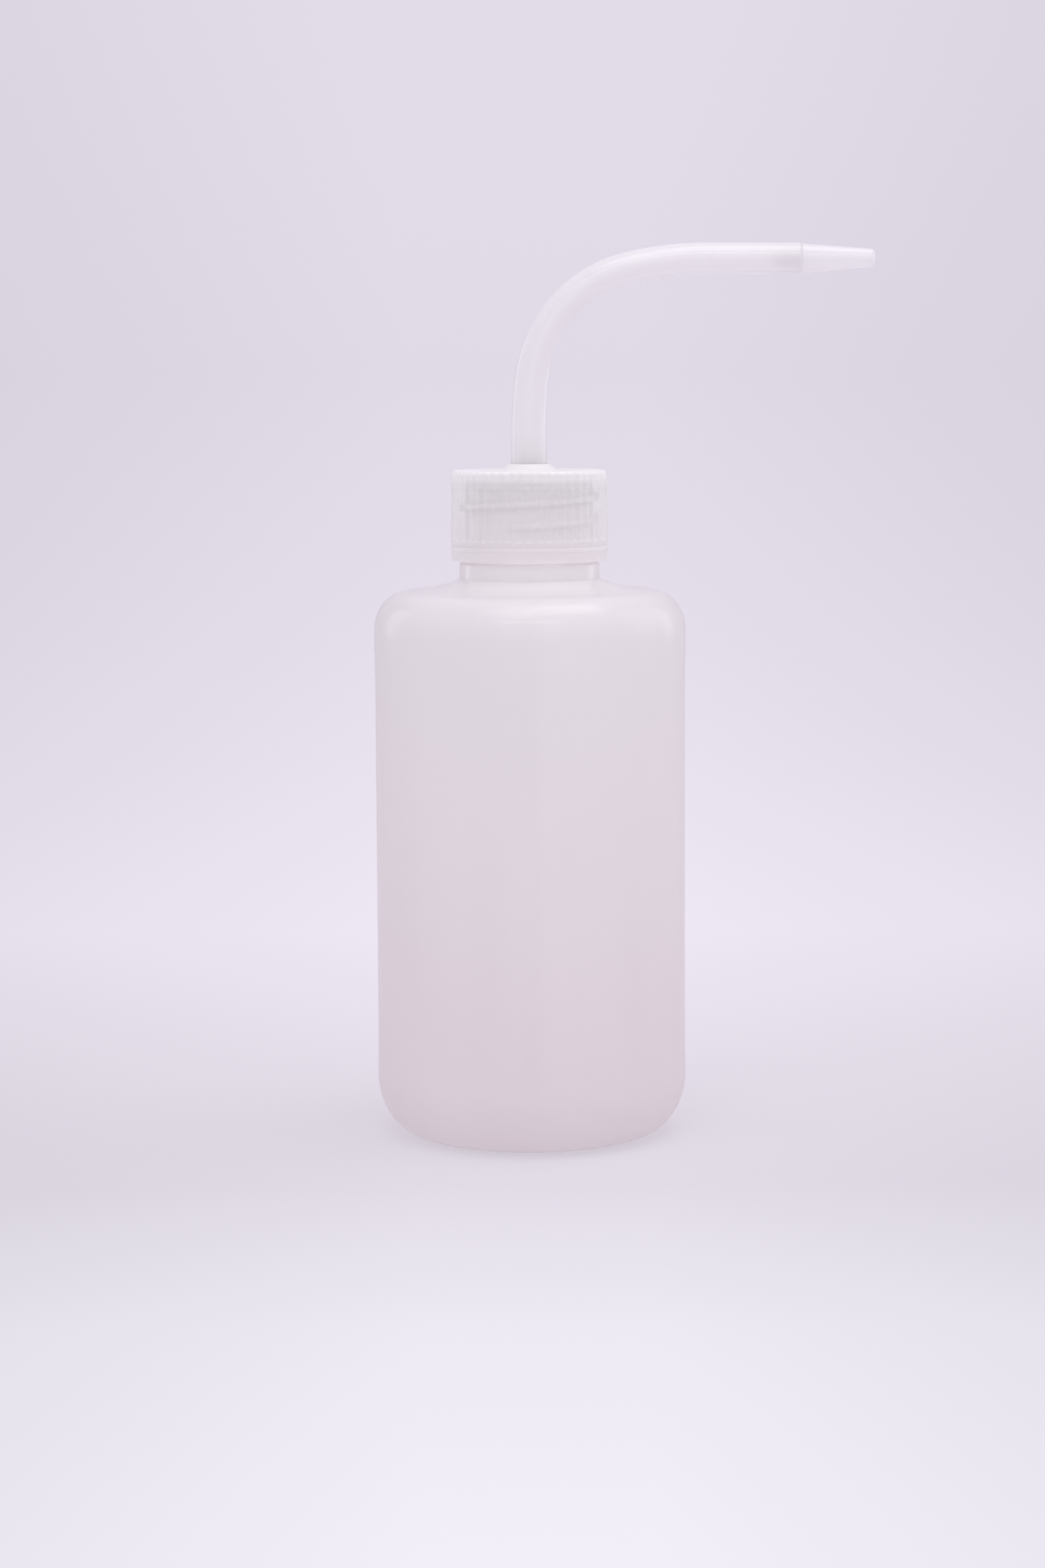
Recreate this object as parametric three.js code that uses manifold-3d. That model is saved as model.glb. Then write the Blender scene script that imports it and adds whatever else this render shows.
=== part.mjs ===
// Wash bottle, in millimetres, +Z up. The origin is the middle of the base, on the bottle's axis,
// and the spout points along +X.
import * as THREE from 'three';
import { mergeVertices } from 'three/addons/utils/BufferGeometryUtils.js';
import Module from 'manifold-3d';

const wasm = await Module();
wasm.setup();

// Bottle body and shoulder
const BODY_R = 30.5;
const WALL = 1.0;
const FLOOR = 1.4;
const BASE_CORNER = { radial: 8.8, high: 12.0 };
const SHOULDER_Z = 99.4;
const SHOULDER_CORNER = { radial: 6.4, high: 7.7 };
const SHOULDER_FILLET = { r: 17.0, z: 107.9 };

// Neck, a 28 mm finish with six threads to the inch
const COLLAR_R = 13.7;
const COLLAR_Z = 109.5;
const COLLAR_TOP_Z = 112.4;
const NECK_R = 12.55;
const NECK_FOOT_Z = 113.6;
const BORE_R = 11.0;
const LIP_Z = 128.0;
const LIP_ROUND = 0.5;
const PITCH = 25.4 / 6;
const RIDGE = { rootWidth: 2.0, crestWidth: 0.8, turns: 1.5, fade: 0.1 };
const NECK_THREAD = { rootR: 12.25, crestR: 13.65, z: 119.75, from: 235 };

// Screw cap
const RIBS = 50;
const RIB_DEPTH = 0.35;
const RIB_BOTTOM_Z = 117.2;
const CAP_R = { top: 15.13, ribFoot: 15.33, rim: 15.4 };
const CAP_Z = { rim: 113.0, band: 115.1, plate: 129.52, top: 130.6 };
const CAP_ROUND = 0.8;
const CAP_BORE_R = 14.0;
const CAP_THREAD = { rootR: 14.3, crestR: 12.9, z: 121.2, from: 117 };
const HUB = { baseR: 5.4, topR: 4.0, high: 1.2, holeR: 3.72 };

// Washer, spout flange and the socket for the dip tube
const WASHER = { innerR: 11.2, outerR: 12.55, z: 128.12, thick: 0.5 };
const FLANGE = { r: 12.6, z: 128.74, topZ: 129.4 };
const SOCKET = { r: 4.0, boreR: 2.7, z: 119.0, depth: 8.4 };

// Spout tube: straight up out of the cap, round three tangent arcs, then level
const SPOUT_AXIS_Z = 171.17;
const SPOUT_END_X = 52.75;
const SPOUT_BORE_R = 1.85;
const SPOUT_R = { cap: 3.52, bend: 3.27, level: 3.15, end: 3.02 };
const BENDS = [
  { radius: 93.5, turn: 6.7 },
  { radius: 24.6, turn: 69.7 },
  { radius: 63.5, turn: 13.6 },
];

// Jet pushed into the spout's end
const JET = { spigotX: 47.8, spigotR: 1.65, seamX: 52.95, seamR: 2.87, noseX: 66.2, noseR: 1.66, endX: 67.1 };
const JET_BORE = { r: 0.9, throatX: 63.5, orificeX: 64.5, orificeR: 0.6 };

// Dip tube
const DIP = { r: 2.5, boreR: 1.8, topZ: 127.2, lowZ: 3.6, slant: 4.0 };

// Facets
const ROUND = 48;
const SMALL_ROUND = 20;
const BORE_ROUND = 12;
const SPOUT_STEPS = 36;
const TURN = 2 * Math.PI;

const rad = THREE.MathUtils.degToRad;
const point = (r, z) => new THREE.Vector2(r, z);

// Points on an ellipse's arc, from one angle in degrees to another, in the plane of radius and height.
function arc(r, z, a, b, from, to, steps) {
  const curve = new THREE.EllipseCurve(r, z, a, b, rad(from), rad(to), to < from);
  return curve.getPoints(steps);
}

// A closed profile of radius and height, turned about the Z axis.
function turned(profile, segments = ROUND) {
  return new THREE.LatheGeometry([...profile, profile[0]], segments).rotateX(Math.PI / 2);
}

function solidOf(geometry) {
  const bare = geometry.clone();
  bare.deleteAttribute('normal');
  bare.deleteAttribute('uv');
  const merged = mergeVertices(bare);
  return new wasm.Manifold(new wasm.Mesh({
    numProp: 3,
    vertProperties: new Float32Array(merged.attributes.position.array),
    triVerts: new Uint32Array(merged.index.array),
  }));
}

function geometryOf(solid) {
  const mesh = solid.getMesh();
  const geometry = new THREE.BufferGeometry();
  geometry.setAttribute('position', new THREE.BufferAttribute(mesh.vertProperties, 3));
  geometry.setIndex(new THREE.BufferAttribute(mesh.triVerts, 1));
  geometry.computeVertexNormals();
  return geometry;
}

// Moves each vertex of a geometry to where place puts it.
function reshaped(geometry, place) {
  const positions = geometry.attributes.position;
  const at = new THREE.Vector3();
  for (let i = 0; i < positions.count; i += 1) {
    place(at.fromBufferAttribute(positions, i));
    positions.setXYZ(i, at.x, at.y, at.z);
  }
  return geometry;
}

// A thread's ridge: a straight bar of trapezoid section, wrapped round the Z axis as a right-handed
// helix that starts at height z and at an angle in degrees. Its two ends fade into the wall.
function threadRidge({ rootR, crestR, z, from }) {
  const { rootWidth, crestWidth, turns, fade } = RIDGE;
  const endHeight = 0.15;
  const section = new THREE.Shape([
    point(-rootWidth / 2, rootR),
    point(-crestWidth / 2, crestR),
    point(crestWidth / 2, crestR),
    point(rootWidth / 2, rootR),
  ]);
  const bar = new THREE.ExtrudeGeometry(section, { depth: turns, steps: turns * ROUND, bevelEnabled: false });
  return reshaped(bar, (at) => {
    const toEnd = Math.min(at.z, turns - at.z);
    const height = Math.min(1, endHeight + toEnd / fade);
    const r = rootR + (at.y - rootR) * height;
    const angle = rad(from) + at.z * TURN;
    at.set(r * Math.cos(angle), r * Math.sin(angle), z + at.x + at.z * PITCH);
  });
}

function bottle() {
  const corner = BASE_CORNER;
  const shoulder = SHOULDER_CORNER;
  const shoulderR = BODY_R - shoulder.radial;
  const outer = [
    ...arc(BODY_R - corner.radial, corner.high, corner.radial, corner.high, -90, 0, 6),
    ...arc(shoulderR, SHOULDER_Z, shoulder.radial, shoulder.high, 0, 85, 5),
    ...new THREE.QuadraticBezierCurve(
      point(shoulderR - 1, SHOULDER_Z + shoulder.high + 0.1),
      point(SHOULDER_FILLET.r, SHOULDER_FILLET.z),
      point(COLLAR_R, COLLAR_Z),
    ).getPoints(4),
    point(COLLAR_R, COLLAR_TOP_Z),
    point(NECK_R, NECK_FOOT_Z),
    ...arc(NECK_R - LIP_ROUND, LIP_Z - LIP_ROUND, LIP_ROUND, LIP_ROUND, 0, 90, 2),
  ];
  const innerHigh = corner.high - FLOOR;
  const inner = [
    point(BORE_R, LIP_Z),
    point(BORE_R, COLLAR_Z + 0.5),
    ...new THREE.QuadraticBezierCurve(
      point(BORE_R + 0.3, COLLAR_Z - 0.6),
      point(SHOULDER_FILLET.r - WALL, SHOULDER_FILLET.z - WALL),
      point(shoulderR - WALL, SHOULDER_Z + shoulder.high - WALL),
    ).getPoints(4),
    ...arc(shoulderR - WALL, SHOULDER_Z - WALL, shoulder.radial, shoulder.high, 75, 0, 4),
    ...arc(BODY_R - WALL - corner.radial, corner.high, corner.radial, innerHigh, 0, -90, 5),
  ];
  const shell = turned([point(0, 0), ...outer, ...inner, point(0, FLOOR)]);
  return geometryOf(solidOf(shell).add(solidOf(threadRidge(NECK_THREAD))));
}

// The cap in one turned piece: rim, plain band, ribbed wall, top plate with its hub, hole and cavity.
// Every second line of the ribbed wall is then drawn in, which leaves the ribs standing.
function screwCap() {
  const profile = [
    point(CAP_BORE_R, CAP_Z.rim + 0.4),
    point(CAP_BORE_R + 0.3, CAP_Z.rim),
    point(CAP_R.rim - 0.3, CAP_Z.rim),
    point(CAP_R.rim - 0.1, CAP_Z.band - 0.15),
    point(CAP_R.rim, CAP_Z.band),
    point(CAP_R.rim, RIB_BOTTOM_Z - 0.4),
    point(CAP_R.ribFoot, RIB_BOTTOM_Z),
    ...arc(CAP_R.top - CAP_ROUND, CAP_Z.top - CAP_ROUND, CAP_ROUND, CAP_ROUND, 0, 90, 2),
    point(HUB.baseR, CAP_Z.top),
    point(HUB.topR, CAP_Z.top + HUB.high),
    point(HUB.holeR, CAP_Z.top + HUB.high),
    point(HUB.holeR, CAP_Z.plate),
    point(CAP_BORE_R, CAP_Z.plate),
  ];
  const ribPitch = TURN / (2 * RIBS);
  const grooveStart = CAP_R.top - CAP_ROUND / 2;
  const shell = reshaped(turned(profile, 2 * RIBS), (at) => {
    const r = Math.hypot(at.x, at.y);
    const line = Math.round(Math.atan2(at.x, -at.y) / ribPitch);
    if (at.z < RIB_BOTTOM_Z - 0.01 || r < grooveStart || line % 2 === 0) return;
    at.x *= 1 - RIB_DEPTH / r;
    at.y *= 1 - RIB_DEPTH / r;
  });
  return geometryOf(solidOf(shell).add(solidOf(threadRidge(CAP_THREAD))));
}

function sealingWasher() {
  const top = WASHER.z + WASHER.thick;
  return turned([
    point(WASHER.innerR, WASHER.z),
    point(WASHER.outerR, WASHER.z),
    point(WASHER.outerR, top),
    point(WASHER.innerR, top),
  ]);
}

// The spout's centreline in the plane y = 0, by its length: a rise, the bends, and a level run.
class SpoutLine extends THREE.Curve {
  constructor(startZ, endX) {
    super();
    this.pieces = [];
    let heading = 90;
    let rise = 0;
    for (const { radius, turn } of BENDS) {
      rise += radius * (Math.cos(rad(heading - turn)) - Math.cos(rad(heading)));
      heading -= turn;
    }
    const bendZ = SPOUT_AXIS_Z - rise;
    this.start = new THREE.Vector3(0, 0, startZ);
    this.pieces.push({ length: bendZ - startZ, curve: 0 });
    for (const { radius, turn } of BENDS) {
      this.pieces.push({ length: radius * rad(turn), curve: 1 / radius });
    }
    this.pieces.push({ length: 0, curve: 0 });
    this.total = this.pieces.reduce((sum, piece) => sum + piece.length, 0);
    const level = endX - this.getPoint(1).x;
    this.pieces[this.pieces.length - 1].length = level;
    this.total += level;
  }

  getPoint(t, target = new THREE.Vector3()) {
    target.copy(this.start);
    let left = t * this.total;
    let heading = Math.PI / 2;
    for (const { length, curve } of this.pieces) {
      const run = Math.min(left, length);
      const bend = run * curve;
      const chord = curve > 0 ? 2 * Math.sin(bend / 2) / curve : run;
      target.x += chord * Math.cos(heading - bend / 2);
      target.z += chord * Math.sin(heading - bend / 2);
      heading -= bend;
      left -= run;
    }
    return target;
  }
}

// A round rod along a line, whose radius at each share of the line's length comes from radiusAt.
function rodAlong(line, steps, sides, radiusAt) {
  const section = new THREE.Shape().absarc(0, 0, 1, 0, TURN);
  const options = { steps, curveSegments: sides / 2, extrudePath: line };
  const centres = line.getSpacedPoints(steps);
  const nearest = (at) => centres.reduce(
    (best, centre, i) => (at.distanceTo(centre) < at.distanceTo(centres[best]) ? i : best), 0,
  );
  return reshaped(new THREE.ExtrudeGeometry(section, options), (at) => {
    const step = nearest(at);
    at.sub(centres[step]).multiplyScalar(radiusAt(step / steps)).add(centres[step]);
  });
}

function spoutRadius(share) {
  const stations = [SPOUT_R.cap, SPOUT_R.bend, SPOUT_R.level, SPOUT_R.end];
  const along = share * (stations.length - 1);
  const i = Math.min(Math.floor(along), stations.length - 2);
  return THREE.MathUtils.lerp(stations[i], stations[i + 1], along - i);
}

function deliveryTube() {
  const wallLine = new SpoutLine(FLANGE.z + 0.3, SPOUT_END_X);
  const boreLine = new SpoutLine(SOCKET.z + SOCKET.depth - 0.5, SPOUT_END_X + 1);
  const tube = rodAlong(wallLine, SPOUT_STEPS, SMALL_ROUND, spoutRadius);
  const bore = rodAlong(boreLine, SPOUT_STEPS, BORE_ROUND, () => SPOUT_BORE_R);
  const stem = turned([
    point(0, SOCKET.z + SOCKET.depth),
    point(SOCKET.boreR, SOCKET.z + SOCKET.depth),
    point(SOCKET.boreR, SOCKET.z),
    point(SOCKET.r, SOCKET.z),
    point(SOCKET.r, FLANGE.z),
    point(FLANGE.r, FLANGE.z),
    point(FLANGE.r, FLANGE.topZ),
    point(0, FLANGE.topZ),
  ]);
  return geometryOf(solidOf(stem).add(solidOf(tube)).subtract(solidOf(bore)));
}

// The jet's profile is drawn along +Z from the spigot and then laid along +X at the spout's height.
function nozzleTip() {
  const nose = JET.endX - JET.noseX;
  const jet = turned([
    point(JET_BORE.r, JET.spigotX),
    point(JET.spigotR, JET.spigotX),
    point(JET.spigotR, JET.seamX),
    point(JET.seamR, JET.seamX),
    ...arc(JET.noseR - nose, JET.noseX, nose, nose, 8, 90, 3),
    point(JET_BORE.orificeR, JET.endX),
    point(JET_BORE.orificeR, JET_BORE.orificeX),
    point(JET_BORE.r, JET_BORE.throatX),
  ], SMALL_ROUND);
  return jet.rotateY(Math.PI / 2);
}

// A straight tube whose lower end is cut on a slant.
function dipTube() {
  const tube = turned([
    point(DIP.boreR, DIP.lowZ),
    point(DIP.r, DIP.lowZ),
    point(DIP.r, DIP.topZ),
    point(DIP.boreR, DIP.topZ),
  ], SMALL_ROUND);
  const slope = DIP.slant / (2 * DIP.r);
  return reshaped(tube, (at) => {
    if (at.z < DIP.topZ - 1) at.z += (at.x + DIP.r) * slope;
  });
}

function plastic(color, roughness, metalness = 0) {
  return new THREE.MeshStandardMaterial({ color, roughness, metalness });
}

function named(name, geometry, material) {
  const mesh = new THREE.Mesh(geometry, material);
  mesh.name = name;
  return mesh;
}

const washBottle = new THREE.Group();
washBottle.add(named('bottle', bottle(), plastic(0xc9c8c6, 0.42)));

const closure = new THREE.Group();
closure.add(named('screw_cap', screwCap(), plastic(0xdcdfe6, 0.38)));
closure.add(named('sealing_washer', sealingWasher(), plastic(0xe9e9e7, 0.5)));

const spout = new THREE.Group();
spout.add(named('delivery_tube', deliveryTube(), plastic(0xd3d7e0, 0.25)));
spout.add(named('dip_tube', dipTube(), plastic(0xdadbdc, 0.35)));
const tip = named('nozzle_tip', nozzleTip(), plastic(0xced2dc, 0.28));
tip.position.z = SPOUT_AXIS_Z;
spout.add(tip);

closure.add(spout);
washBottle.add(closure);

export default washBottle;
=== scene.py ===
import math

import bmesh
import bpy
import numpy as np
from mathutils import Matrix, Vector


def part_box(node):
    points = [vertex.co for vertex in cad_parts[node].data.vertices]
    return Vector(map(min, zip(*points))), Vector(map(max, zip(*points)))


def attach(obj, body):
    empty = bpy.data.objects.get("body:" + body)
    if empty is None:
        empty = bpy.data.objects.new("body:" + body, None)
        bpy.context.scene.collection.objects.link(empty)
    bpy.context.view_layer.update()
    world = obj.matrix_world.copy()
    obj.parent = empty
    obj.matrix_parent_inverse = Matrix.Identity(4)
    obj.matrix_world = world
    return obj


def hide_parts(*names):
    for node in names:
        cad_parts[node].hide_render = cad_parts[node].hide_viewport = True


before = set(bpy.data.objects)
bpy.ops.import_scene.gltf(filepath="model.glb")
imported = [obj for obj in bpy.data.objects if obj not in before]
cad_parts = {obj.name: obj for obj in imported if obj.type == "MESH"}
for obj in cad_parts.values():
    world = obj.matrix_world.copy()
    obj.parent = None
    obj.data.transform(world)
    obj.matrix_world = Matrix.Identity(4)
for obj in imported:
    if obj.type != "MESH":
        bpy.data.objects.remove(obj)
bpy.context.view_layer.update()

MM = 0.001
TURN = 2 * math.pi
SAME_POINT = 0.0001 * MM
SHARP_FROM = math.radians(50)

# Places and sizes taken from the frame
BODY_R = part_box("bottle")[1].x
LIP_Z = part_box("bottle")[1].z
CAP_RIM_Z, CAP_TOP_Z = (corner.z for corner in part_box("screw_cap"))
CAP_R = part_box("screw_cap")[1].x
TUBE_LOW, TUBE_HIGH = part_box("delivery_tube")
JET_LOW, JET_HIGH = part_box("nozzle_tip")
DIP_LOW, DIP_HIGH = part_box("dip_tube")
WASHER_LOW, WASHER_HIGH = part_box("sealing_washer")

# Bottle: corners are (across, up), the push-up is the hollow under the base, the ring is what the bottle
# stands on, and FLOOR_R is the flat of the floor inside
WALL = 1.0 * MM
FLOOR = 1.4 * MM
BASE_CORNER = (8.8 * MM, 12.0 * MM)
PUSH_UP = 1.1 * MM
PUSH_UP_R = 13 * MM
PUSH_UP_FOOT = (16.5 * MM, 0.25 * MM)
RING_R = 18.5 * MM
FLOOR_R = 15 * MM
SHOULDER_Z = 99.4 * MM
SHOULDER_CORNER = (6.4 * MM, 7.7 * MM)
SHOULDER_BEND = (17 * MM, 107.9 * MM)
COLLAR_R = 13.7 * MM
COLLAR_Z = 109.5 * MM
COLLAR_TOP_Z = 112.4 * MM
NECK_R = 12.55 * MM
BORE_R = 11.0 * MM
BODY_SIDES = 256
PARTING = {"high": 0.05 * MM, "wide": 0.6 * MM}
PINCH = {"high": 0.3 * MM, "wide": 0.6 * MM, "r": 10 * MM}
# The wall's slow waves, each (depth, waves round, phase, phase gained in a metre of height), and how far
# in the wall is set so that its parting lines stay inside its radius
WAVES = ((0.035 * MM, 2, 0.6, 9), (0.021 * MM, 3, 2.1, -22), (0.014 * MM, 5, 4.0, 31))
WAVE_LOW_Z = 8 * MM
WAVE_FADE = 14 * MM
SETBACK = 0.06 * MM

# Threads: a ridge starts at the height z and the angle start, and stands out by high
PITCH = 25.4 / 6 * MM
RIDGE = {"foot": 2.2 * MM, "crest": 0.7 * MM, "turns": 1.5, "fade": 0.12}
NECK_THREAD = {"z": 119.75 * MM, "start": math.radians(235), "high": 1.1 * MM}
CAP_THREAD = {"z": 121.2 * MM, "start": math.radians(117), "high": 1.1 * MM}

# Cap
RIBS = 50
RIB_DEPTH = 0.24 * MM
RIB_LOW_Z = CAP_RIM_Z + 4.2 * MM
BAND_LOW_Z = CAP_RIM_Z + 2.0 * MM
CAP_BORE_R = 14.0 * MM
CAP_TOP_R = CAP_R - 0.27 * MM
CAP_HOLE_R = 3.72 * MM
RIB_SIDES = 8
PLATE_EDGE_R = 0.8 * MM
HUB_HIGH = 1.2 * MM
HUB_FOOT_R = 5.4 * MM
HUB_TOP_R = 4.1 * MM
PLATE_TOP_Z = CAP_TOP_Z - HUB_HIGH
PLATE_LOW_Z = PLATE_TOP_Z - 1.08 * MM

# Washer
WASHER_BROAD = 1.35 * MM
WASHER_SIDES = 128

# Spout: its centreline rises, turns through three tangent arcs (radius, degrees) and ends level. SPOUT_R is
# (share of the way from the cap to the end, radius), and FLANGE_DROP how far the flange's two faces lie
# below the cap's plate
SPOUT_AXIS_Z = (JET_LOW.z + JET_HIGH.z) / 2
BENDS = ((93.5 * MM, 6.7), (24.6 * MM, 69.7), (63.5 * MM, 13.6))
SPOUT_R = ((0.0, 3.52 * MM), (0.33, 3.27 * MM), (0.67, 3.15 * MM), (1.0, 3.02 * MM))
SPOUT_BORE_R = 1.85 * MM
SPOUT_STATIONS = 150
SOCKET_R = 4.0 * MM
SOCKET_BORE_R = 2.7 * MM
SOCKET_DEEP = 8.4 * MM
FLANGE_DROP = (0.12 * MM, 0.78 * MM)
PIPE_SIDES = 64

# Jet
JET_LONG = 14.15 * MM
JET_NOSE_R = 1.7 * MM
JET_HOLE_R = 0.6 * MM
JET_BORE_R = 0.9 * MM
SPIGOT_R = 1.65 * MM

# Dip tube
DIP_BORE_R = 1.8 * MM
DIP_SLANT = 4 * MM
DIP_FADE = 12 * MM

# Heights between which the bottle's plastic turns from the wall's to the neck's
NECK_BLEND = (105 * MM, 111 * MM)

# The range that holds most of a noise's values
NOISE_RANGE = (0.3, 0.7)


# ---------------------------------------------------------------- shapes


def arc(centre, radii, start, stop, steps):
    """Points (r, z) on an ellipse's arc between two angles in degrees."""
    angles = np.radians(np.linspace(start, stop, steps + 1))
    return [(centre[0] + radii[0] * math.cos(a), centre[1] + radii[1] * math.sin(a)) for a in angles]


def bezier(start, control, end, steps):
    """Points on a quadratic curve that leaves start towards control and comes to end from there."""
    shares = np.linspace(0, 1, steps + 1)
    return [
        tuple((1 - t) ** 2 * np.array(start) + 2 * t * (1 - t) * np.array(control) + t ** 2 * np.array(end))
        for t in shares
    ]


def rounded(corners, steps=4):
    """A profile through corners (r, z) or (r, z, fillet), where a fillet turns the corner into an arc."""
    points = []
    for i, corner in enumerate(corners):
        here = np.array(corner[:2])
        if len(corner) == 2:
            points.append(tuple(here))
            continue
        before = np.array(corners[i - 1][:2]) - here
        after = np.array(corners[(i + 1) % len(corners)][:2]) - here
        before, after = before / np.linalg.norm(before), after / np.linalg.norm(after)
        half = math.acos(float(np.clip(before @ after, -1, 1))) / 2
        bisector = (before + after) / np.linalg.norm(before + after)
        centre = here + bisector * corner[2] / math.sin(half)
        first = here + before * corner[2] / math.tan(half) - centre
        last = here + after * corner[2] / math.tan(half) - centre
        swing = math.pi - 2 * half
        for k in range(steps + 1):
            share = k / steps
            spoke = (math.sin((1 - share) * swing) * first + math.sin(share * swing) * last) / math.sin(swing)
            points.append(tuple(centre + spoke))
    return points


def divided(points, longest):
    """The same profile with no stretch longer than longest."""
    out = [points[0]]
    for a, b in zip(points, points[1:]):
        count = max(1, math.ceil(math.dist(a, b) / longest))
        out += [tuple(np.array(a) + (np.array(b) - np.array(a)) * k / count) for k in range(1, count + 1)]
    return out


def upright(z):
    """The point and the two cross directions of the bottle's own axis at height z."""
    return Vector((0, 0, z)), Vector((1, 0, 0)), Vector((0, 1, 0))


def along_x(x):
    """The same for the level line through the spout's end."""
    return Vector((x, 0, SPOUT_AXIS_Z)), Vector((0, 0, 1)), Vector((0, -1, 0))


def swept(name, outside, inside, sides, line=upright, closed=True, change=None):
    """A surface of rings along a line, one for each (radius, length) of its profile, which runs over the
    outside and back along the inside. change(r, s, angle) gives new radii and lengths. A closed profile
    joins its last ring to its first. The attribute inner is 1 on the inside's rings."""
    profile = outside + inside
    r, s = (np.array(values, float)[:, None] for values in zip(*profile))
    angles = np.arange(sides)[None, :] * TURN / sides
    r, s, angles = np.broadcast_arrays(r, s, angles)
    if change:
        r, s = change(r.copy(), s.copy(), angles)
    grid = np.empty(r.shape + (3,))
    for i in range(r.shape[0]):
        level = float(s[i].mean())
        centre, across, side = (np.array(v) for v in line(level))
        forward = np.cross(across, side)
        grid[i] = (
            centre
            + r[i, :, None] * np.cos(angles[i])[:, None] * across
            + r[i, :, None] * np.sin(angles[i])[:, None] * side
            + (s[i] - level)[:, None] * forward
        )
    rows = len(profile)
    faces = []
    for i in range(rows if closed else rows - 1):
        low, high = i * sides, (i + 1) % rows * sides
        faces += [(low + j, low + (j + 1) % sides, high + (j + 1) % sides, high + j) for j in range(sides)]
    mesh = bpy.data.meshes.new(name)
    mesh.from_pydata(grid.reshape(-1, 3).tolist(), [], faces)
    inner = np.repeat(np.arange(rows) >= len(outside), sides).astype(float)
    mesh.attributes.new("inner", "FLOAT", "POINT").data.foreach_set("value", inner)
    work = bmesh.new()
    work.from_mesh(mesh)
    bmesh.ops.remove_doubles(work, verts=work.verts, dist=SAME_POINT)
    bmesh.ops.recalc_face_normals(work, faces=work.faces)
    work.to_mesh(mesh)
    work.free()
    mesh.shade_smooth()
    mesh.set_sharp_from_angle(angle=SHARP_FROM)
    piece = bpy.data.objects.new(name, mesh)
    bpy.context.scene.collection.objects.link(piece)
    return piece


def smooth(value):
    """0 below 0, 1 above 1, and an even S between them."""
    value = np.clip(value, 0, 1)
    return value * value * (3 - 2 * value)


def ridge(z, angle, thread):
    """How far a thread's ridge stands out at each height and angle, from 0 to 1."""
    out = np.zeros(z.shape)
    first = ((angle - thread["start"]) / TURN) % 1
    for extra in range(math.ceil(RIDGE["turns"])):
        turn = first + extra
        offset = np.abs(z - thread["z"] - turn * PITCH)
        flank = (RIDGE["foot"] / 2 - offset) / (RIDGE["foot"] / 2 - RIDGE["crest"] / 2)
        ends = np.clip(np.minimum(turn, RIDGE["turns"] - turn) / RIDGE["fade"], 0, 1)
        out = np.maximum(out, smooth(flank) * smooth(ends))
    return out


# ---------------------------------------------------------------- materials


def material(name):
    """A new material with its node tree and its Principled shader."""
    made = bpy.data.materials.new(name)
    made.use_nodes = True
    tree = made.node_tree
    return made, tree, tree.nodes["Principled BSDF"]


def node(tree, kind, **values):
    """A new node, where each value is a property of it or the value of one of its inputs."""
    made = tree.nodes.new(kind)
    for key, value in values.items():
        if hasattr(made, key):
            setattr(made, key, value)
        else:
            made.inputs[key.replace("_", " ")].default_value = value
    return made


def noise(tree, scale, detail, stretch=(1, 1, 1)):
    """A noise over the piece's own coordinates in metres, with scale in cycles a metre."""
    place = tree.nodes.new("ShaderNodeTexCoord")
    mapping = node(tree, "ShaderNodeMapping")
    mapping.inputs["Scale"].default_value = stretch
    tree.links.new(place.outputs["Object"], mapping.inputs["Vector"])
    made = node(tree, "ShaderNodeTexNoise", Scale=scale, Detail=detail)
    tree.links.new(mapping.outputs["Vector"], made.inputs["Vector"])
    return made.outputs["Fac"]


def ranged(tree, source, low, high, to_low, to_high):
    """A value that runs from to_low to to_high while the source runs from low to high."""
    made = node(tree, "ShaderNodeMapRange")
    for key, value in zip(("From Min", "From Max", "To Min", "To Max"), (low, high, to_low, to_high)):
        made.inputs[key].default_value = value
    tree.links.new(source, made.inputs["Value"])
    return made.outputs["Result"]


def ramp(tree, source, stops):
    """The colour that stops, a list of (place, colour), give at the source's value."""
    made = node(tree, "ShaderNodeValToRGB")
    while len(made.color_ramp.elements) < len(stops):
        made.color_ramp.elements.new(0.5)
    for element, (place, colour) in zip(made.color_ramp.elements, stops):
        element.position = place
        element.color = (*colour, 1)
    tree.links.new(source, made.inputs["Fac"])
    return made.outputs["Color"]


def bumped(tree, shader, source, distance, strength):
    made = node(tree, "ShaderNodeBump", Strength=strength, Distance=distance)
    tree.links.new(source, made.inputs["Height"])
    tree.links.new(made.outputs["Normal"], shader.inputs["Normal"])


def own_place(tree):
    """The node that splits the piece's own coordinates into X, Y and Z."""
    place = tree.nodes.new("ShaderNodeTexCoord")
    split = tree.nodes.new("ShaderNodeSeparateXYZ")
    tree.links.new(place.outputs["Object"], split.inputs["Vector"])
    return split


def height_share(tree, start, full, most=1.0):
    """0 at the height start and most at the height full."""
    return ranged(tree, own_place(tree).outputs["Z"], start, full, 0, most)


def mixed(tree, share, a, b):
    """Colour a where the share is 0 and colour b where it is 1."""
    made = node(tree, "ShaderNodeMix", data_type="RGBA")
    tree.links.new(share, made.inputs["Factor"])
    tree.links.new(a, made.inputs["A"])
    tree.links.new(b, made.inputs["B"])
    return made.outputs["Result"]


def cloudy(tree, dark, light, scale=60, stretch=(1, 1, 1)):
    """A colour that drifts between two tints in soft clouds."""
    return ramp(tree, noise(tree, scale, 4, stretch), list(zip(NOISE_RANGE, (dark, light))))


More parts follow.
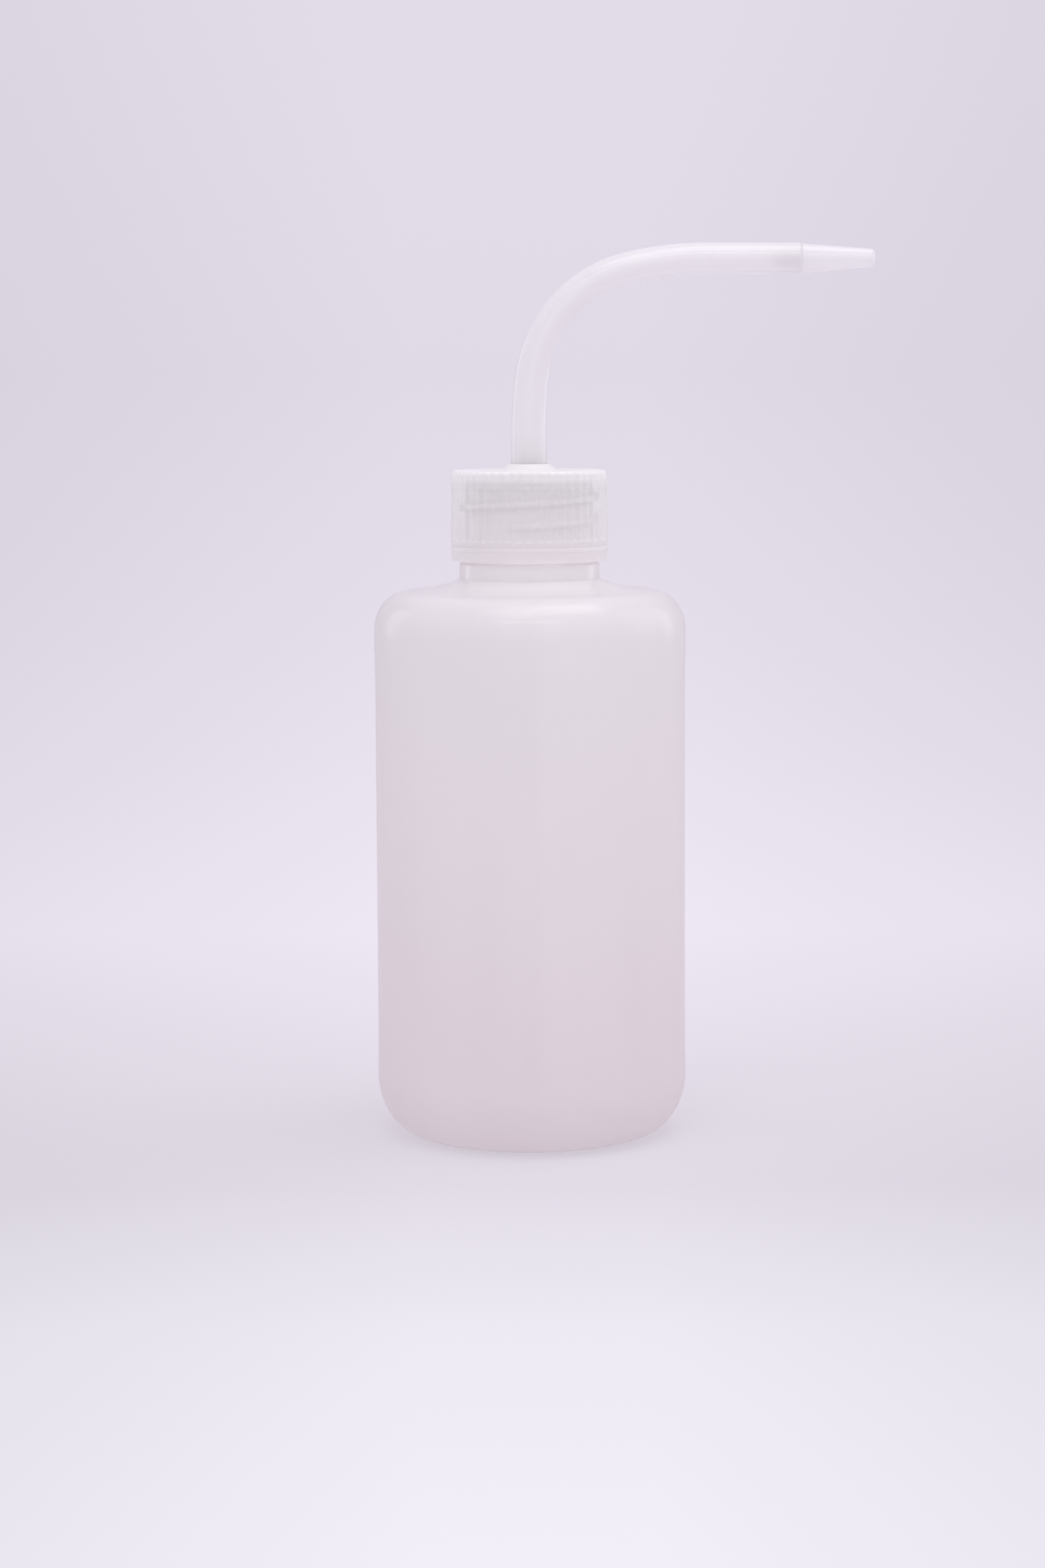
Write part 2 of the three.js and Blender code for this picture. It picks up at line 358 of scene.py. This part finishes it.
def hazy(tree, shader, colour, haze, rough, soak=0.4, inside=0.25, thick=None, gloss=1.0):
    """Thin milky plastic. haze is how much a wall hides of what lies behind it, seen square on and along
    the wall, and inside is the share of that haze that faces marked inner keep. thick is (start, full, more):
    haze added over the height, from none at start to more at full. rough is the roughness's range, gloss the
    strength of the surface's shine and of the coat on it, and soak the share of the wall's light that comes
    through from behind. The result is the node whose Fac is soak."""
    tree.links.new(colour, shader.inputs["Base Color"])
    tree.links.new(ranged(tree, noise(tree, 300, 2), *NOISE_RANGE, *rough), shader.inputs["Roughness"])
    shader.inputs["Specular IOR Level"].default_value = gloss
    shader.inputs["Coat Weight"].default_value = gloss
    shader.inputs["Coat Roughness"].default_value = 0.12
    through = tree.nodes.new("ShaderNodeBsdfTranslucent")
    tree.links.new(colour, through.inputs["Color"])
    body = node(tree, "ShaderNodeMixShader", Fac=soak)
    tree.links.new(shader.outputs["BSDF"], body.inputs[1])
    tree.links.new(through.outputs["BSDF"], body.inputs[2])
    clear = tree.nodes.new("ShaderNodeBsdfTransparent")
    facing = node(tree, "ShaderNodeLayerWeight", Blend=0.35)
    inner = node(tree, "ShaderNodeAttribute", attribute_name="inner")
    share = node(tree, "ShaderNodeMath", operation="MULTIPLY")
    tree.links.new(ranged(tree, facing.outputs["Facing"], 0, 1, *haze), share.inputs[0])
    tree.links.new(ranged(tree, inner.outputs["Fac"], 0, 1, 1, inside), share.inputs[1])
    if thick:
        whole = node(tree, "ShaderNodeMath", operation="ADD")
        tree.links.new(share.outputs["Value"], whole.inputs[0])
        tree.links.new(height_share(tree, *thick), whole.inputs[1])
        share = whole
    seen = node(tree, "ShaderNodeMixShader")
    tree.links.new(share.outputs["Value"], seen.inputs["Fac"])
    tree.links.new(clear.outputs["BSDF"], seen.inputs[1])
    tree.links.new(body.outputs["Shader"], seen.inputs[2])
    tree.links.new(seen.outputs["Shader"], tree.nodes["Material Output"].inputs["Surface"])
    return body


def bottle_plastic():
    """Milky low-density polyethylene: pinker low down, in soft upright bands, with a neck that lets less
    light through."""
    made, tree, shader = material("bottle_plastic")
    upright_bands = {"scale": 40, "stretch": (1, 1, 0.1)}
    low = cloudy(tree, (0.935, 0.885, 0.895), (0.968, 0.92, 0.93), **upright_bands)
    high = cloudy(tree, (0.945, 0.925, 0.93), (0.978, 0.957, 0.963), **upright_bands)
    neck = cloudy(tree, (0.965, 0.93, 0.935), (0.975, 0.94, 0.945))
    wall = mixed(tree, height_share(tree, 0.0, SHOULDER_Z), low, high)
    at_neck = height_share(tree, *NECK_BLEND)
    colour = mixed(tree, at_neck, wall, neck)
    body = hazy(tree, shader, colour, haze=(0.92, 1.0), rough=(0.36, 0.44))
    tree.links.new(ranged(tree, at_neck, 0, 1, 0.55, 0.2), body.inputs["Fac"])
    bumped(tree, shader, noise(tree, 120, 3, (1, 1, 0.2)), distance=0.15 * MM, strength=0.4)
    return made


def cap_plastic():
    """Natural polypropylene: pinker low down, whiter higher up, and hazier from just below its plate."""
    made, tree, shader = material("cap_plastic")
    low = cloudy(tree, (0.975, 0.935, 0.94), (0.985, 0.945, 0.95))
    high = cloudy(tree, (0.985, 0.97, 0.97), (0.995, 0.98, 0.98))
    colour = mixed(tree, height_share(tree, CAP_RIM_Z + 4 * MM, CAP_RIM_Z + 12 * MM), low, high)
    plate = (PLATE_LOW_Z - 2.4 * MM, PLATE_LOW_Z - 0.4 * MM, 0.35)
    hazy(
        tree, shader, colour, haze=(0.36, 0.6), rough=(0.28, 0.36), soak=0.05,
        inside=0.1, thick=plate, gloss=0.4,
    )
    return made


def hazy_plastic(name, dark, light, **finish):
    made, tree, shader = material(name)
    hazy(tree, shader, cloudy(tree, dark, light), **finish)
    return made


def washer_foam():
    """White foam, nearly opaque."""
    return hazy_plastic(
        "washer_foam", (0.96, 0.94, 0.95), (0.98, 0.96, 0.97), haze=(0.8, 1.0), rough=(0.5, 0.6),
    )


def tube_plastic():
    """Clear glossy polyethylene, milkier in the stretch inside the cap."""
    return hazy_plastic(
        "tube_plastic", (0.96, 0.94, 0.955), (0.975, 0.955, 0.97), haze=(0.5, 0.95), rough=(0.1, 0.16),
        inside=0.8, thick=(PLATE_TOP_Z, PLATE_LOW_Z, 0.45),
    )


def tip_plastic():
    """Clear glossy polyethylene, whose spigot shows faintly through the tube."""
    return hazy_plastic(
        "tip_plastic", (0.96, 0.94, 0.955), (0.975, 0.955, 0.97), haze=(0.5, 0.9), rough=(0.1, 0.16),
        inside=0.4,
    )


def dip_plastic():
    """Clear polyethylene, a little duller than the spout's."""
    return hazy_plastic(
        "dip_plastic", (0.95, 0.93, 0.95), (0.97, 0.95, 0.97), haze=(0.3, 0.7), rough=(0.25, 0.35),
    )


# ---------------------------------------------------------------- pieces

# In their outlines a point is (radius, height), or (radius, height, fillet)


def bottle():
    """The blown bottle: base with its push-up, wall, shoulder, collar and threaded neck, open at the top."""
    corner_r, corner_z = BASE_CORNER
    flat_r = BODY_R - corner_r
    shoulder_r, shoulder_z = SHOULDER_CORNER
    crown = BODY_R - shoulder_r
    base = divided(rounded([
        (0, PUSH_UP),
        (PUSH_UP_R, PUSH_UP, 3 * MM),
        (*PUSH_UP_FOOT, 1.5 * MM),
        (RING_R, 0, 1.5 * MM),
        (flat_r, 0),
    ]), 0.8 * MM)
    outside = (
        base[:-1]
        + arc((flat_r, corner_z), BASE_CORNER, -90, 0, 24)
        + divided([(BODY_R, corner_z + MM), (BODY_R, SHOULDER_Z - MM)], 3 * MM)
        + arc((crown, SHOULDER_Z), SHOULDER_CORNER, 0, 84, 18)
        + bezier(
            (crown - MM, SHOULDER_Z + shoulder_z + 0.1 * MM), SHOULDER_BEND, (COLLAR_R, COLLAR_Z), 10,
        )
        + divided(rounded([
            (COLLAR_R, COLLAR_Z + 0.2 * MM),
            (COLLAR_R, COLLAR_TOP_Z, 0.4 * MM),
            (NECK_R, COLLAR_TOP_Z + 1.2 * MM, 0.4 * MM),
            (NECK_R, LIP_Z, 0.5 * MM),
            (BORE_R, LIP_Z, 0.4 * MM),
            (BORE_R, LIP_Z - MM),
        ]), 0.2 * MM)
    )
    inside = (
        [(BORE_R, COLLAR_Z + 0.5 * MM)]
        + bezier(
            (BORE_R + 0.2 * MM, COLLAR_Z - 0.5 * MM), (SHOULDER_BEND[0] - WALL, SHOULDER_BEND[1] - WALL),
            (crown - WALL, SHOULDER_Z + shoulder_z - WALL), 8,
        )
        + arc((crown - WALL, SHOULDER_Z - WALL), SHOULDER_CORNER, 76, 0, 10)
        + divided([(BODY_R - WALL, SHOULDER_Z - 2 * MM), (BODY_R - WALL, corner_z + MM)], 6 * MM)
        + arc((flat_r - WALL, corner_z), (corner_r, corner_z - FLOOR), 0, -90, 12)
        + [(FLOOR_R, FLOOR + PUSH_UP), (0, FLOOR + PUSH_UP)]
    )

    def change(r, z, angle):
        outer_neck = r > NECK_R - 0.1 * MM
        r = r + outer_neck * NECK_THREAD["high"] * ridge(z, angle, NECK_THREAD)
        on_wall = smooth((z - WAVE_LOW_Z) / WAVE_FADE) * smooth((SHOULDER_Z - z) / WAVE_FADE)
        sway = sum(
            depth * (1 + np.sin(around * angle + phase + twist * z)) for depth, around, phase, twist in WAVES
        )
        parting = np.exp(-((r * np.sin(angle) / PARTING["wide"]) ** 2)) * PARTING["high"]
        pinch = np.exp(-((r * np.sin(angle) / PINCH["wide"]) ** 2)) * PINCH["high"]
        under = z < PUSH_UP + 0.01 * MM
        z = z - under * pinch * smooth((PINCH["r"] - r) / MM)
        return r - on_wall * (sway + SETBACK - parting), z

    return swept("bottle_shell", outside, inside, BODY_SIDES, closed=False, change=change)


def ribbed_cap():
    """The cap: rim, plain band, ribbed wall, top plate with its hub and hole, and the inside thread."""
    rib_foot_r = CAP_R - 0.07 * MM
    outside = rounded([
        (CAP_BORE_R, CAP_RIM_Z + 0.5 * MM),
        (CAP_BORE_R + 0.25 * MM, CAP_RIM_Z, 0.15 * MM),
        (CAP_R - 0.3 * MM, CAP_RIM_Z, 0.2 * MM),
        (CAP_R - 0.12 * MM, BAND_LOW_Z, 0.1 * MM),
        (CAP_R, BAND_LOW_Z + 0.2 * MM, 0.1 * MM),
        (CAP_R, RIB_LOW_Z - 0.5 * MM, 0.2 * MM),
    ])
    edge_z = PLATE_TOP_Z - PLATE_EDGE_R
    ribbed = divided([(rib_foot_r, RIB_LOW_Z), (CAP_TOP_R, edge_z)], 0.5 * MM)
    ribbed = divided([(CAP_R, RIB_LOW_Z - 0.2 * MM), ribbed[0]], 0.1 * MM)[:-1] + ribbed
    top = (
        arc((CAP_TOP_R - PLATE_EDGE_R, edge_z), (PLATE_EDGE_R, PLATE_EDGE_R), 8, 90, 8)
        + rounded([
            (12 * MM, PLATE_TOP_Z),
            (HUB_FOOT_R, PLATE_TOP_Z, 0.5 * MM),
            (HUB_TOP_R, CAP_TOP_Z, 0.25 * MM),
            (CAP_HOLE_R, CAP_TOP_Z, 0.12 * MM),
            (CAP_HOLE_R, PLATE_TOP_Z),
        ])
    )
    under = rounded([
        (CAP_HOLE_R, PLATE_LOW_Z + 0.3 * MM),
        (CAP_HOLE_R, PLATE_LOW_Z, 0.1 * MM),
        (CAP_BORE_R, PLATE_LOW_Z, 0.3 * MM),
        (CAP_BORE_R, PLATE_LOW_Z - 0.6 * MM),
    ])
    bore = divided([(CAP_BORE_R, PLATE_LOW_Z - 0.8 * MM), (CAP_BORE_R, CAP_RIM_Z + 5 * MM)], 0.2 * MM)

    def change(r, z, angle):
        outer = r > CAP_BORE_R + 0.2 * MM
        starts = smooth((z - RIB_LOW_Z + 0.3 * MM) / (0.6 * MM))
        ends = smooth((PLATE_TOP_Z + 0.05 * MM - z) / (0.5 * MM))
        groove = 0.5 - 0.5 * np.cos(RIBS * angle)
        r = r - outer * starts * ends * RIB_DEPTH * groove
        in_bore = (np.abs(r - CAP_BORE_R) < 0.01 * MM) & (z < PLATE_LOW_Z - 0.5 * MM)
        return r - in_bore * CAP_THREAD["high"] * ridge(z, angle, CAP_THREAD), z

    return swept("ribbed_cap", outside + ribbed + top, under + bore, RIBS * RIB_SIDES, change=change)


def seal_ring():
    """The flat washer between the bottle's lip and the spout's flange."""
    outer = WASHER_HIGH.x
    inner = outer - WASHER_BROAD
    return swept("seal_ring", rounded([
        (inner, WASHER_LOW.z, 0.1 * MM),
        (outer, WASHER_LOW.z, 0.15 * MM),
        (outer, WASHER_HIGH.z, 0.15 * MM),
        (inner, WASHER_HIGH.z, 0.1 * MM),
    ]), [], WASHER_SIDES)


def spout_line(s):
    """The point and cross directions of the spout's centreline, where s is the height up to the first
    bend and the length along the line from there on."""
    rise, turned = 0.0, 0.0
    for radius, degrees in BENDS:
        before, turned = turned, turned + degrees
        rise += radius * (math.sin(math.radians(turned)) - math.sin(math.radians(before)))
    bend_z = SPOUT_AXIS_Z - rise
    x, z, heading, left = 0.0, min(s, bend_z), math.pi / 2, s - bend_z
    for radius, degrees in BENDS:
        bend = min(max(left, 0) / radius, math.radians(degrees))
        chord = 2 * radius * math.sin(bend / 2)
        x += chord * math.cos(heading - bend / 2)
        z += chord * math.sin(heading - bend / 2)
        heading -= bend
        left -= radius * math.radians(degrees)
    if left > 0:
        x += left
    forward = Vector((math.cos(heading), 0, math.sin(heading)))
    side = Vector((0, 1, 0))
    return Vector((x, 0, z)), side.cross(forward), side


def spout_length(x):
    """The value of s at which the level run reaches x, found by halving a range that holds it."""
    low, high = 100 * MM, 300 * MM
    for _ in range(40):
        middle = (low + high) / 2
        low, high = (middle, high) if spout_line(middle)[0].x < x else (low, middle)
    return low


def spout_tube():
    """The bent spout in one piece with its flange and the socket for the dip tube."""
    flange_r = -TUBE_LOW.x
    flange_top, flange_low = (PLATE_LOW_Z - drop for drop in FLANGE_DROP)
    foot_r, end_r = SPOUT_R[0][1], SPOUT_R[-1][1]
    start, end = CAP_TOP_Z, spout_length(TUBE_HIGH.x)
    run = np.linspace(start, end - 0.3 * MM, SPOUT_STATIONS)
    radii = np.interp((run - start) / (end - start), *zip(*SPOUT_R))
    outside = rounded([
        (SOCKET_BORE_R, TUBE_LOW.z, 0.1 * MM),
        (SOCKET_R, TUBE_LOW.z, 0.3 * MM),
        (SOCKET_R, flange_low, 0.3 * MM),
        (flange_r, flange_low, 0.15 * MM),
        (flange_r, flange_top, 0.15 * MM),
        (foot_r, flange_top, 0.1 * MM),
        (foot_r, start - 0.1 * MM),
    ]) + list(zip(radii, run))
    mouth = rounded([
        (end_r, end - 0.31 * MM),
        (end_r - 0.02 * MM, end, 0.15 * MM),
        (SPOUT_BORE_R, end, 0.12 * MM),
        (SPOUT_BORE_R, end - 0.4 * MM),
    ])[1:]
    bore = [(SPOUT_BORE_R, s) for s in run[::-2]]
    socket = rounded([
        (SPOUT_BORE_R, start - 0.5 * MM),
        (SPOUT_BORE_R, TUBE_LOW.z + SOCKET_DEEP, 0.1 * MM),
        (SOCKET_BORE_R, TUBE_LOW.z + SOCKET_DEEP, 0.1 * MM),
        (SOCKET_BORE_R, TUBE_LOW.z + 0.5 * MM),
    ])
    return swept("spout_tube", outside + mouth, bore + socket, PIPE_SIDES, line=spout_line)


def jet_tip():
    """The tapered jet with its bore, and the spigot that is pushed into the spout's end."""
    tip = JET_HIGH.x
    seam = tip - JET_LONG
    outside = rounded([
        (SPIGOT_R + 0.2 * MM, seam),
        (JET_HIGH.y, seam, 0.15 * MM),
        (JET_NOSE_R, tip, 0.7 * MM),
        (JET_HOLE_R, tip, 0.2 * MM),
        (JET_HOLE_R, tip - 1.0 * MM),
    ], 6)
    bore = [
        (JET_HOLE_R, tip - 2.6 * MM),
        (JET_BORE_R, tip - 3.6 * MM),
        (JET_BORE_R, JET_LOW.x + 1.0 * MM),
    ]
    spigot = rounded([
        (JET_BORE_R, JET_LOW.x + 0.5 * MM),
        (JET_BORE_R, JET_LOW.x, 0.1 * MM),
        (SPIGOT_R, JET_LOW.x, 0.15 * MM),
        (SPIGOT_R, seam),
    ])
    inside = divided(bore, MM) + divided(spigot, MM)
    return swept("jet_tip", divided(outside, MM), inside, PIPE_SIDES, line=along_x)


def draw_tube():
    """The dip tube, whose lower end is cut at a slant."""
    outer_r = DIP_HIGH.x
    outside = divided(rounded([
        (DIP_BORE_R, DIP_LOW.z, 0.1 * MM),
        (outer_r, DIP_LOW.z, 0.1 * MM),
        (outer_r, DIP_HIGH.z, 0.1 * MM),
        (DIP_BORE_R, DIP_HIGH.z, 0.1 * MM),
    ]), 4 * MM)
    bore = divided([(DIP_BORE_R, DIP_HIGH.z - MM), (DIP_BORE_R, DIP_LOW.z + MM)], 4 * MM)

    def change(r, z, angle):
        near_end = smooth((DIP_LOW.z + DIP_FADE - z) / (DIP_FADE - MM))
        return r, z + near_end * (r * np.cos(angle) + outer_r) / (2 * outer_r) * DIP_SLANT

    return swept("draw_tube", outside, bore, PIPE_SIDES, change=change)


# ---------------------------------------------------------------- stage

# The sweep in metres: a level floor, a bend and a wall, which reach half to each side
SWEEP = {"front_y": -6.0, "bend_y": 0.9, "bend_r": 0.4, "top_z": 4.0, "floor_z": -0.1 * MM, "half": 6.0}
BEND_STEPS = 32

# The paper's painted light and shade at places along it, where a place is Y + Z: a darker band painted across
# the floor at the bottle's foot, lighter paper behind and in front of it, and darker again where the paper
# bends up
PAINTED_LIGHT_TINTS = (
    (-0.26, (0.331, 0.322, 0.345)),
    (-0.15, (0.314, 0.306, 0.329)),
    (-0.05, (0.280, 0.268, 0.292)),
    (0.06, (0.295, 0.280, 0.307)),
    (0.25, (0.325, 0.309, 0.340)),
    (0.95, (0.326, 0.309, 0.341)),
    (1.36, (0.304, 0.288, 0.321)),
    (1.65, (0.314, 0.297, 0.331)),
)

# Painted shade darkens the paper a little to both sides: over these shares of a width that grows along it
SIDE_SHADE_WIDTH = (0.49, 2.4)
SIDE_SHADE_SHARES = (0.03, 0.15)
PAINTED_SIDE_SHADE = (0.92, 0.92, 0.92, 1)

# What the lamps point at, and each lamp's place, width and height, and power in watts
LIT_POINT = (0, 0, 80 * MM)
LAMPS = {
    "overhead": ((0.10, -0.15, 0.85), (0.8, 0.45), 2.0),
    "front_panel": ((0.0, -1.6, 0.55), (1.2, 0.8), 1.15),
    "front_strip": ((0.0, -0.7, 0.75), (0.8, 0.05), 0.7),
    "right_box": ((0.8, 0.1, 0.4), (0.4, 0.6), 0.35),
    "left_rim": ((-0.42, 0.25, 0.21), (0.15, 0.3), 0.12),
    "right_rim": ((0.42, 0.25, 0.21), (0.15, 0.3), 0.12),
}

# The camera's place, how far it looks down and leans in degrees, and its lens and film in millimetres
CAMERA_PLACE = (-1.59 * MM, -700 * MM, 150 * MM)
CAMERA_DOWN = 6.6
CAMERA_LEAN = -0.3
CAMERA_LENS = 82.2
CAMERA_FILM = 36


def sweep_mesh():
    y, z, bend = SWEEP["bend_y"], SWEEP["floor_z"], SWEEP["bend_r"]
    run = [(SWEEP["front_y"], z), (y, z)]
    run += [
        (y + bend * math.sin(a), z + bend - bend * math.cos(a))
        for a in np.linspace(0, math.pi / 2, BEND_STEPS + 1)[1:]
    ]
    run += [(y + bend, SWEEP["top_z"])]
    points = [(x, *place) for place in run for x in (-SWEEP["half"], SWEEP["half"])]
    faces = [(2 * i, 2 * i + 1, 2 * i + 3, 2 * i + 2) for i in range(len(run) - 1)]
    mesh = bpy.data.meshes.new("sweep")
    mesh.from_pydata(points, [], faces)
    mesh.shade_smooth()
    return mesh


def sweep_paper():
    """Matt paper that glows softly, with painted light and shade along its length and painted shade towards
    both sides.
    """
    made, tree, shader = material("sweep_paper")
    place = own_place(tree)
    along = node(tree, "ShaderNodeMath", operation="ADD")
    tree.links.new(place.outputs["Y"], along.inputs[0])
    tree.links.new(place.outputs["Z"], along.inputs[1])
    start, end = PAINTED_LIGHT_TINTS[0][0], PAINTED_LIGHT_TINTS[-1][0]
    # painted light and shade along the paper's length
    painted_light_tones = ramp(
        tree, ranged(tree, along.outputs["Value"], start, end, 0, 1),
        [((at - start) / (end - start), colour) for at, colour in PAINTED_LIGHT_TINTS],
    )
    # painted shade towards both sides of the paper
    aside = node(tree, "ShaderNodeMath", operation="DIVIDE")
    tree.links.new(place.outputs["X"], aside.inputs[0])
    tree.links.new(ranged(tree, along.outputs["Value"], start, end, *SIDE_SHADE_WIDTH), aside.inputs[1])
    either_side = node(tree, "ShaderNodeMath", operation="ABSOLUTE")
    tree.links.new(aside.outputs["Value"], either_side.inputs[0])
    side_shaded_paper = node(tree, "ShaderNodeMix", data_type="RGBA", blend_type="MULTIPLY")
    side_shaded_paper.inputs["B"].default_value = PAINTED_SIDE_SHADE
    tree.links.new(
        ranged(tree, either_side.outputs["Value"], *SIDE_SHADE_SHARES, 0, 1), side_shaded_paper.inputs["Factor"],
    )
    tree.links.new(painted_light_tones, side_shaded_paper.inputs["A"])
    tree.links.new(side_shaded_paper.outputs["Result"], shader.inputs["Base Color"])
    tree.links.new(side_shaded_paper.outputs["Result"], shader.inputs["Emission Color"])
    shader.inputs["Emission Strength"].default_value = 1.6
    shader.inputs["Roughness"].default_value = 0.9
    shader.inputs["Specular IOR Level"].default_value = 0.1
    return made


def stage():
    sweep = bpy.data.objects.new("sweep", sweep_mesh())
    sweep.data.materials.append(sweep_paper())
    bpy.context.scene.collection.objects.link(sweep)


def area_light(name, place, size, power):
    lamp = bpy.data.lights.new(name, "AREA")
    lamp.shape = "RECTANGLE"
    lamp.size, lamp.size_y = size
    lamp.energy = power
    holder = bpy.data.objects.new(name, lamp)
    holder.location = place
    holder.rotation_euler = (Vector(LIT_POINT) - Vector(place)).to_track_quat("-Z", "Y").to_euler()
    bpy.context.scene.collection.objects.link(holder)


def lighting():
    world = bpy.data.worlds.new("studio")
    world.use_nodes = True
    background = world.node_tree.nodes["Background"]
    background.inputs["Color"].default_value = (0.96, 0.94, 1.0, 1)
    background.inputs["Strength"].default_value = 0.8
    bpy.context.scene.world = world
    for name, (place, size, power) in LAMPS.items():
        area_light(name, place, size, power)
    bpy.context.scene.view_settings.view_transform = "Standard"


def camera():
    data = bpy.data.cameras.new("photo_camera")
    data.sensor_width = CAMERA_FILM
    data.lens = CAMERA_LENS
    data.clip_start = 10 * MM
    holder = bpy.data.objects.new("photo_camera", data)
    holder.location = CAMERA_PLACE
    holder.rotation_euler = (math.radians(90 - CAMERA_DOWN), 0, 0)
    holder.rotation_euler.rotate_axis("Z", math.radians(CAMERA_LEAN))
    bpy.context.scene.collection.objects.link(holder)
    bpy.context.scene.camera = holder


camera()
lighting()
stage()

MATERIALS = {
    "bottle_plastic": bottle_plastic(),
    "cap_plastic": cap_plastic(),
    "washer_foam": washer_foam(),
    "tube_plastic": tube_plastic(),
    "tip_plastic": tip_plastic(),
    "dip_plastic": dip_plastic(),
}
PIECES = (
    (bottle(), "bottle", "bottle", "bottle_plastic"),
    (ribbed_cap(), "cap", "screw_cap", "cap_plastic"),
    (seal_ring(), "washer", "sealing_washer", "washer_foam"),
    (spout_tube(), "spout", "delivery_tube", "tube_plastic"),
    (jet_tip(), "spout", "nozzle_tip", "tip_plastic"),
    (draw_tube(), "spout", "dip_tube", "dip_plastic"),
)
for piece, body, cad_node, slot in PIECES:
    piece.data.materials.append(MATERIALS[slot])
    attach(piece, body)
    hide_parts(cad_node)
